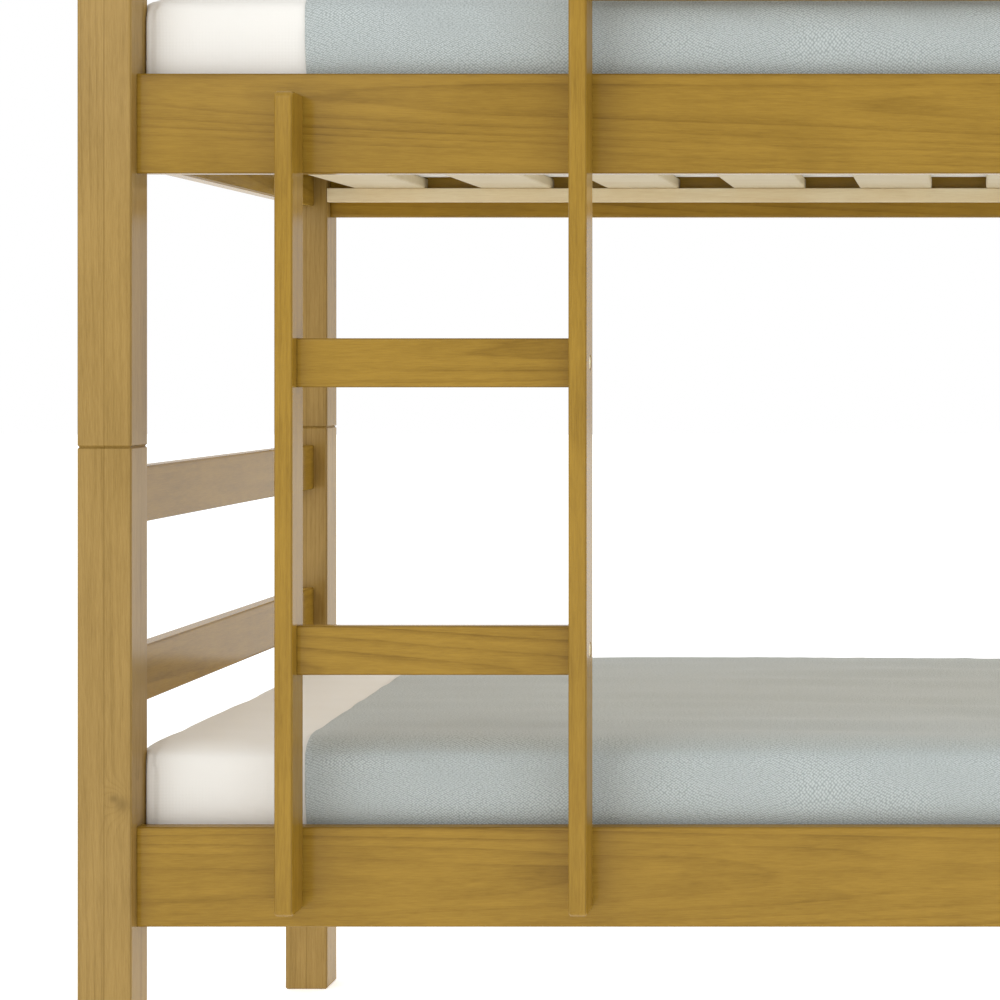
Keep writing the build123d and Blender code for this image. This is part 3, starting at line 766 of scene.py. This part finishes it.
def ribbed_weave():
    """Knitted cotton blanket: short stitches staggered like bricks, in rows that lean one way and then
    the other, with pale crowns and painted shade in the hollows between the ribs."""
    bedding = bpy.context.scene.bunkbed_bedding
    sockets = {"Roughness": 0.9, "Specular IOR Level": 0.15}
    sockets |= {"Sheen Weight": 0.35, "Sheen Roughness": 0.45}
    material, surface, add = new_material("Ribbed cotton blanket", **sockets)
    cloth = add("ShaderNodeUVMap", uv_map="cloth")
    sway = add(NOISE, {"Vector": cloth, "Scale": 1 / ROW_SPAN, "Detail": 1.0}, noise_dimensions="2D")
    drift = add(MATH, (sway, ROW_WANDER), operation="MULTIPLY")
    shift = add("ShaderNodeCombineXYZ", {"Y": drift})
    yarn = add(VECTOR, (cloth, shift), operation="ADD")
    # Turned by an eighth, square cells become stitches staggered like bricks.
    shape = Vector((1 / bedding.stitch_length, 1 / bedding.stitch_height, 1)) * math.sqrt(2)
    scaled = add(VECTOR, (yarn, shape), operation="MULTIPLY")
    turned = add("ShaderNodeVectorRotate", {"Vector": scaled, "Angle": math.radians(45)})
    inputs = {"Vector": turned, "Scale": 1.0, "Randomness": 0.36}
    cells = add("ShaderNodeTexVoronoi", inputs, voronoi_dimensions="2D")
    ribs = add(MATH, (cells, -1.5, 1.0), operation="MULTIPLY_ADD")
    fuzz = add(NOISE, {"Vector": cloth, "Scale": 1 / FUZZ, "Detail": 2.0}, noise_dimensions="2D")
    height = add(MATH, (fuzz, 0.5, ribs), operation="MULTIPLY_ADD")
    # Painted shade: low parts of the ribs take the darker colour, so the hollows look shaded.
    tone = add(RAMP, (height,), stops=((0.4, 0.05), (1.0, 1.0)))
    colours = (tone, tuple(bedding.yarn_painted_hollow_shade), tuple(bedding.yarn))
    tint = add(MIX, colours, data_type="RGBA")
    relief = add(BUMP, {"Height": height, "Distance": 0.8 * MM, "Strength": 0.6})
    drive(surface, Base_Color=tint, Normal=relief)
    return material


def smoothstep(low, high, values):
    """0 below low, 1 above high, and an easy curve between."""
    share = np.clip((values - low) / (high - low), 0, 1)
    return share * share * (3 - 2 * share)


def coordinates(mesh):
    """A mesh's points as an array."""
    points = np.empty(len(mesh.vertices) * 3)
    mesh.vertices.foreach_get("co", points)
    return points.reshape(-1, 3)


def set_coordinates(mesh, points):
    """Write an array of points back to a mesh."""
    mesh.vertices.foreach_set("co", points.ravel())
    mesh.update()


def shade_smooth(mesh):
    """Smooth shading all over."""
    mesh.polygons.foreach_set("use_smooth", [True] * len(mesh.polygons))


def run_cloth(obj, steps):
    """Step an object's cloth from the first frame and return its points."""
    scene = bpy.context.scene
    cloth = next(modifier for modifier in obj.modifiers if modifier.type == "CLOTH")
    cloth.point_cache.frame_start = 1
    cloth.point_cache.frame_end = steps
    for frame in range(1, steps + 1):
        scene.frame_set(frame)
    depsgraph = bpy.context.evaluated_depsgraph_get()
    mesh = obj.evaluated_get(depsgraph).to_mesh()
    points = coordinates(mesh)
    obj.evaluated_get(depsgraph).to_mesh_clear()
    obj.modifiers.remove(cloth)
    scene.frame_set(1)
    return points


class Berth:
    """The room for a mattress: inside the rails, between the posts and on the slats."""

    def __init__(self, tier):
        low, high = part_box(f"{tier}_mattress")
        self.low, self.high = low, high
        self.middle = (low + high) / 2
        _, rail_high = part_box(f"{tier}_side_rail_front")
        _, end_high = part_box(f"{tier}_left_end_rail")
        _, post_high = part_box(f"{tier}_post_front_left")
        self.half_y = self.middle.y - rail_high.y
        self.half_x = self.middle.x - end_high.x
        self.post_y = self.middle.y - post_high.y
        self.post_x = self.middle.x - post_high.x
        self.slat_top = low.z
        cover_low, cover_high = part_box(f"{tier}_coverlet")
        self.cover_start, self.cover_end = cover_low.x, cover_high.x
        self.hem = cover_low.z

    def fit(self, points, gap_y):
        """Keep points inside the berth: off the rails, round the posts and on the slats."""
        x = points[:, 0] - self.middle.x
        y = points[:, 1] - self.middle.y
        side_x, side_y = np.sign(x), np.sign(y)
        x, y = np.abs(x), np.abs(y)
        x = np.minimum(x, self.half_x - END_GAP)
        y = np.minimum(y, self.half_y - gap_y)
        over_x = x - (self.post_x - POST_GAP)
        over_y = y - (self.post_y - POST_GAP)
        inside = (over_x > 0) & (over_y > 0)
        x = np.where(inside & (over_x <= over_y), x - over_x, x)
        y = np.where(inside & (over_y < over_x), y - over_y, y)
        fitted = points.copy()
        fitted[:, 0] = self.middle.x + side_x * x
        fitted[:, 1] = self.middle.y + side_y * y
        fitted[:, 2] = np.maximum(points[:, 2], self.slat_top)
        return fitted

    def under_coverlet(self, x):
        """1 under the coverlet and 0 beyond its two edges."""
        past_start = smoothstep(self.cover_start - 4 * MM, self.cover_start + 6 * MM, x)
        past_end = smoothstep(self.cover_end - 6 * MM, self.cover_end + 4 * MM, x)
        return past_start * (1 - past_end)


def mattress_blank(berth, name, cell):
    """A closed rounded block of even cells, a little smaller than the filled mattress."""
    mesh = bmesh.new()
    bmesh.ops.create_cube(mesh, size=1)
    half_z = (berth.high.z - berth.low.z) / 2
    half = Vector((berth.half_x - END_PLAY, berth.half_y - SIDE_PLAY, half_z - SIDE_PLAY))
    bmesh.ops.scale(mesh, vec=half * 2, verts=mesh.verts)
    bmesh.ops.translate(mesh, vec=berth.middle, verts=mesh.verts)
    upright = [edge for edge in mesh.edges if abs(edge.verts[0].co.z - edge.verts[1].co.z) > MM]
    bmesh.ops.bevel(mesh, geom=upright, offset=UPRIGHT_RADIUS, segments=4, profile=0.5, affect="EDGES")
    level = [edge for edge in mesh.edges if abs(edge.verts[0].co.z - edge.verts[1].co.z) < MM]
    rims = []
    for edge in level:
        first, second = edge.link_faces
        if abs(first.normal.z - second.normal.z) > 0.5:
            rims.append(edge)
    bmesh.ops.bevel(mesh, geom=rims, offset=RIM_RADIUS, segments=5, profile=0.5, affect="EDGES")
    data = bpy.data.meshes.new(name)
    mesh.to_mesh(data)
    mesh.free()
    obj = bpy.data.objects.new(name, data)
    bpy.context.scene.collection.objects.link(obj)
    remesh = obj.modifiers.new("Cells", "REMESH")
    remesh.mode = "VOXEL"
    remesh.voxel_size = cell
    obj.data = evaluated_mesh(obj)
    obj.modifiers.clear()
    return obj


def swell(obj, middle, steps, limit):
    """Blow the cover out with the filling's pressure, no further than the limit. The filling's firm
    edges keep the corners from drawing in."""
    cloth = obj.modifiers.new("Filling", "CLOTH")
    cloth.settings.quality = 4
    cloth.settings.use_pressure = True
    cloth.settings.uniform_pressure_force = PRESSURE
    cloth.settings.effector_weights.gravity = 0
    cloth.collision_settings.use_collision = False
    start = coordinates(obj.data)
    moved = run_cloth(obj, steps) - start
    outwards = np.sign(start[:, :2] - np.array(middle[:2])) * moved[:, :2]
    moved[:, :2] *= np.where(outwards < 0, GIVE, 1.0)
    length = np.linalg.norm(moved, axis=1, keepdims=True)
    share = np.minimum(1.0, limit / np.maximum(length, 1e-9))
    return start + moved * share


def corner_creases(berth, points):
    """Soft upright folds where the fitted cover is gathered round each corner."""
    offset = points - np.array(berth.middle)
    x, y = np.abs(offset[:, 0]), np.abs(offset[:, 1])
    at_end = x > berth.half_x - CREASE_REACH
    at_side = y > berth.half_y - CREASE_REACH
    beside_post = np.abs(berth.post_x - x)
    fold = np.exp(-(((beside_post - CREASE_PLACE) / CREASE_WIDTH) ** 2)) * at_side
    beside_post = np.abs(berth.post_y - y)
    fold += np.exp(-(((beside_post - CREASE_PLACE) / CREASE_WIDTH) ** 2)) * at_end
    fade = smoothstep(berth.low.z + 15 * MM, berth.low.z + 40 * MM, points[:, 2])
    inwards = fold * fade * CREASE_DEPTH
    creased = points.copy()
    creased[:, 0] -= np.sign(offset[:, 0]) * inwards * at_end
    creased[:, 1] -= np.sign(offset[:, 1]) * inwards * at_side
    return creased


def settle_top(berth, points, seed):
    """Long shallow waves along the top, left by use, which fade out towards its edges."""
    rng = random.Random(seed)
    waves = np.zeros(len(points))
    for _ in range(WAVES):
        length = rng.uniform(60, 150) * MM
        lean = rng.uniform(-0.12, 0.12)
        phase = points[:, 1] + lean * points[:, 0] + 20 * MM * np.sin(points[:, 0] * rng.uniform(2, 7))
        reach = np.exp(-(((points[:, 0] - rng.uniform(-0.8, 0.8)) / rng.uniform(0.3, 0.7)) ** 2))
        waves += length * np.sin(phase * 2 * math.pi / length + rng.uniform(0, 6)) * reach
    side = (berth.half_y - np.abs(points[:, 1] - berth.middle.y)) / SIDE_FADE
    end = (berth.half_x - np.abs(points[:, 0] - berth.middle.x)) / END_FADE
    top = smoothstep(berth.high.z - 30 * MM, berth.high.z - 10 * MM, points[:, 2])
    settled = points.copy()
    settled[:, 2] += waves * WAVE_HEIGHT * top * np.clip(side, 0, 1) * np.clip(end, 0, 1)
    return settled


def refine_corners(obj, berth):
    """Split the cells near the four upright corners, where the folds are."""
    mesh = bmesh.new()
    mesh.from_mesh(obj.data)
    near = []
    for edge in mesh.edges:
        middle = (edge.verts[0].co + edge.verts[1].co) / 2 - berth.middle
        if min(abs(middle.x) - berth.half_x, abs(middle.y) - berth.half_y) > -CORNER_REACH:
            near.append(edge)
    bmesh.ops.subdivide_edges(mesh, edges=near, cuts=1, use_grid_fill=True, smooth=0.3)
    mesh.to_mesh(obj.data)
    mesh.free()


def make_mattress(tier, finish):
    """The mattress: swollen by its filling, pressed by posts, rails and slats, gathered at corners."""
    bedding = bpy.context.scene.bunkbed_bedding
    berth = Berth(tier)
    obj = mattress_blank(berth, f"{tier}_mattress_cover", bedding.cell)
    set_coordinates(obj.data, swell(obj, berth.middle, bedding.frames, bedding.swell))
    obj.modifiers.new("Smooth", "SUBSURF").levels = 1
    obj.modifiers["Smooth"].render_levels = 1
    obj.data = evaluated_mesh(obj)
    obj.modifiers.clear()
    refine_corners(obj, berth)
    points = coordinates(obj.data)
    gap = RAIL_GAP + berth.under_coverlet(points[:, 0]) * bedding.cover_thickness
    points = corner_creases(berth, berth.fit(points, gap))
    points = settle_top(berth, points, TIERS.index(tier))
    set_coordinates(obj.data, points)
    shade_smooth(obj.data)
    obj.data.materials.clear()
    obj.data.materials.append(finish)
    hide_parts(f"{tier}_mattress")
    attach(obj, f"{tier}_mattress")


def coverlet_path(berth):
    """Points (y, z) from the front hem, up the side, over the top and down to the rear hem."""
    outer = berth.half_y + LAY_ASIDE
    top = berth.high.z + LAY_ABOVE
    path = []
    for z in np.arange(berth.hem, top - LAY_CORNER, CLOTH_SPACING):
        path.append((-outer, z))
    for step in range(1, 5):
        angle = math.pi / 2 * step / 5
        aside = LAY_CORNER * (1 - math.cos(angle))
        path.append((-outer + aside, top - LAY_CORNER * (1 - math.sin(angle))))
    count = round((outer - LAY_CORNER) / CLOTH_SPACING)
    for step in range(count):
        path.append((-(outer - LAY_CORNER) * (1 - step / count), top))
    return path + [(0.0, top)] + [(-y, z) for y, z in reversed(path)]


def laid_points(berth, path, columns, skew, bvh, lift):
    """The coverlet wrapped on the mattress, point by point."""
    points = []
    for u in columns:
        for y, z in path:
            start = Vector((0, berth.middle.y + y, z))
            start.x = berth.cover_start + u + skew(u, y)
            aim = Vector((start.x, berth.middle.y + y * 0.86, berth.middle.z - 10 * MM))
            if abs(y) > berth.half_y:
                aim.z = min(z, aim.z + 40 * MM)
            hit, normal, _, _ = bvh.ray_cast(start, (aim - start).normalized())
            points.append(hit + normal * lift if hit else aim)
    return points


def make_coverlet(tier, finish, seed):
    """The coverlet: laid over the mattress with a little slack, settled, and tucked in by the rails."""
    berth = Berth(tier)
    mattress = bpy.data.objects[f"{tier}_mattress_cover"]
    bedding = bpy.context.scene.bunkbed_bedding
    path = coverlet_path(berth)
    length = berth.cover_end - berth.cover_start
    columns = np.linspace(0, length, round(length / CLOTH_SPACING) + 1)
    rng = random.Random(seed)
    lean = rng.uniform(0.024, 0.034)

    def skew(u, y):
        """The left edge runs a little askew, and the cloth with it, less and less to the right."""
        return -lean * (y + berth.half_y) * (1 - u / length) ** 2

    corners = [vertex.co for vertex in mattress.data.vertices]
    bvh = BVHTree.FromPolygons(corners, [face.vertices for face in mattress.data.polygons])
    lift = bedding.cover_thickness * 0.5 + LAY_TOUCH
    points = laid_points(berth, path, columns, skew, bvh, lift)
    rows = len(path)
    faces = []
    for i in range(len(columns) - 1):
        for j in range(rows - 1):
            faces.append((i * rows + j, (i + 1) * rows + j, (i + 1) * rows + j + 1, i * rows + j + 1))
    data = bpy.data.meshes.new(f"{tier}_coverlet_cloth")
    data.from_pydata(points, [], faces)
    along = [0.0]
    for (y0, z0), (y1, z1) in zip(path, path[1:]):
        along.append(along[-1] + math.hypot(y1 - y0, z1 - z0))
    uv = data.uv_layers.new(name="cloth")
    for loop in data.loops:
        column, row = divmod(loop.vertex_index, rows)
        uv.data[loop.index].uv = (columns[column], along[row])
    obj = bpy.data.objects.new(f"{tier}_coverlet_cloth", data)
    bpy.context.scene.collection.objects.link(obj)
    settle(obj, mattress, rows, bedding.frames)
    thickness = bedding.cover_thickness
    points = berth.fit(coordinates(obj.data), thickness * 0.5 + 0.3 * MM)
    set_coordinates(obj.data, points)
    smooth = obj.modifiers.new("Smooth", "SUBSURF")
    smooth.levels = smooth.render_levels = 1
    solid = obj.modifiers.new("Thickness", "SOLIDIFY")
    solid.thickness = thickness
    solid.offset = 0
    rounded = obj.modifiers.new("Edge", "BEVEL")
    rounded.width = thickness * 0.42
    rounded.segments = 2
    rounded.limit_method = "ANGLE"
    rounded.angle_limit = math.radians(60)
    obj.data = evaluated_mesh(obj)
    obj.modifiers.clear()
    shade_smooth(obj.data)
    obj.data.materials.clear()
    obj.data.materials.append(finish)
    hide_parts(f"{tier}_coverlet")
    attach(obj, f"{tier}_mattress")


def settle(obj, mattress, rows, steps):
    """Let the cloth, cut a little loose and held at its tucked hems, settle on the mattress."""
    tucked = obj.vertex_groups.new(name="tucked")
    hems = (*range(TUCKED_ROWS), *range(rows - TUCKED_ROWS, rows))
    held = [vertex.index for vertex in obj.data.vertices if vertex.index % rows in hems]
    tucked.add(held, 1.0, "REPLACE")
    mattress.modifiers.new("Solid", "COLLISION")
    mattress.collision.thickness_outer = 1 * MM
    cloth = obj.modifiers.new("Settle", "CLOTH")
    cloth.settings.quality = 6
    cloth.settings.vertex_group_mass = "tucked"
    cloth.settings.shrink_min = -SLACK
    cloth.settings.bending_stiffness = 6
    cloth.collision_settings.distance_min = 1.5 * MM
    set_coordinates(obj.data, run_cloth(obj, steps))
    mattress.modifiers.remove(mattress.modifiers["Solid"])


class BUNKBED_OT_mattresses(bpy.types.Operator):
    """Make the two mattresses, filled out and pressed into their berths"""

    bl_idname = "bunkbed.mattresses"
    bl_label = "Mattresses"

    def execute(self, context):
        sheet = cotton()
        for tier in TIERS:
            make_mattress(tier, sheet)
        return {"FINISHED"}


class BUNKBED_OT_coverlets(bpy.types.Operator):
    """Lay a coverlet on each mattress and tuck it in"""

    bl_idname = "bunkbed.coverlets"
    bl_label = "Coverlets"

    def execute(self, context):
        blanket = ribbed_weave()
        for seed, tier in enumerate(TIERS):
            make_coverlet(tier, blanket, seed)
        return {"FINISHED"}


# ---------------------------------------------------------------- stage

# The key light's place from the middle of the bed's front, and its size, in metres.
KEY_PLACE = Vector((-2.2, -3.2, 2.6))
KEY_SIZE = (2.4, 2.4)
GLOW_COLOUR = "#FFDCA8"


def studio_light(name, place, aim, size, watts, colour="#FFFFFF"):
    """A soft area light."""
    data = bpy.data.lights.new(name, "AREA")
    data.shape = "RECTANGLE"
    data.size, data.size_y = size
    data.energy = watts
    data.color = linear(colour)[:3]
    light = bpy.data.objects.new(name, data)
    light.location = place
    light.rotation_euler = (Vector(aim) - Vector(place)).to_track_quat("-Z", "Y").to_euler()
    light.visible_camera = False
    bpy.context.scene.collection.objects.link(light)


class BUNKBED_OT_stage(bpy.types.Operator):
    """Set the pale floor, the white studio, the soft key light and the camera"""

    bl_idname = "bunkbed.stage"
    bl_label = "Stage"

    def execute(self, context):
        scene = context.scene
        stage = scene.bunkbed_stage
        scene.view_settings.view_transform = "Standard"
        world = bpy.data.worlds.new("White studio")
        world.use_nodes = True
        world.node_tree.nodes["Background"].inputs["Color"].default_value = (1, 1, 1, 1)
        world.node_tree.nodes["Background"].inputs["Strength"].default_value = stage.sky
        scene.world = world

        bpy.ops.mesh.primitive_plane_add(size=60, location=(0, 0, -0.2 * MM))
        floor = context.active_object
        floor.name = "studio_floor"
        sockets = {"Base Color": linear("#F4F4F2"), "Roughness": 0.9, "Specular IOR Level": 0.1}
        sockets["Emission Color"] = (1, 1, 1, 1)
        sockets["Emission Strength"] = 0.5
        material, _, _ = new_material("Pale studio floor", **sockets)
        floor.data.materials.append(material)

        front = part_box("lower_post_front_left")[0].y
        middle = Vector((0, front, 0.9))
        studio_light("key", Vector((0, front, 0)) + KEY_PLACE, middle, KEY_SIZE, stage.key)
        berth_low, berth_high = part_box("lower_mattress")
        below_slats = Vector((0, 0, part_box("upper_ledger_front")[0].z - 30 * MM))
        glow = (berth_high.x - berth_low.x, (berth_high.y - berth_low.y) * 0.8)
        studio_light("berth_glow", below_slats, Vector((0, 0, 0)), glow, stage.glow, GLOW_COLOUR)

        camera = bpy.data.cameras.new("camera")
        camera.sensor_width = 36
        camera.lens = stage.lens
        camera.shift_x = stage.shift_x
        camera.shift_y = stage.shift_y
        camera.clip_end = 100
        holder = bpy.data.objects.new("camera", camera)
        holder.location = (0, front - stage.distance, stage.height)
        holder.rotation_euler = (math.pi / 2, 0, 0)
        scene.collection.objects.link(holder)
        scene.camera = holder
        return {"FINISHED"}


# ---------------------------------------------------------------- add-on


class BUNKBED_PT_panel(bpy.types.Panel):
    """Lists the steps that finish the bed"""

    bl_idname = "BUNKBED_PT_panel"
    bl_label = "Bunk bed"
    bl_space_type = "VIEW_3D"
    bl_region_type = "UI"
    bl_category = "Bunk Bed"

    def draw(self, context):
        for step in STEPS:
            self.layout.operator(step.bl_idname)


SETTINGS = {
    "bunkbed_pine": PineSettings,
    "bunkbed_hardware": HardwareSettings,
    "bunkbed_bedding": BeddingSettings,
    "bunkbed_stage": StageSettings,
}
STEPS = (
    BUNKBED_OT_stage,
    BUNKBED_OT_posts,
    BUNKBED_OT_rails,
    BUNKBED_OT_ladder,
    BUNKBED_OT_slats,
    BUNKBED_OT_dowels,
    BUNKBED_OT_fittings,
    BUNKBED_OT_screws,
    BUNKBED_OT_mattresses,
    BUNKBED_OT_coverlets,
)
CLASSES = (*SETTINGS.values(), *STEPS, BUNKBED_PT_panel)


def register():
    for cls in CLASSES:
        bpy.utils.register_class(cls)
    for name, cls in SETTINGS.items():
        setattr(bpy.types.Scene, name, PointerProperty(type=cls))


def unregister():
    for name in SETTINGS:
        delattr(bpy.types.Scene, name)
    for cls in reversed(CLASSES):
        bpy.utils.unregister_class(cls)


def main():
    register()
    bpy.ops.bunkbed.stage()
    bpy.ops.bunkbed.posts()
    bpy.ops.bunkbed.rails()
    bpy.ops.bunkbed.ladder()
    bpy.ops.bunkbed.slats()
    bpy.ops.bunkbed.dowels()
    bpy.ops.bunkbed.fittings()
    bpy.ops.bunkbed.screws()
    bpy.ops.bunkbed.mattresses()
    bpy.ops.bunkbed.coverlets()


if __name__ == "__main__":
    main()
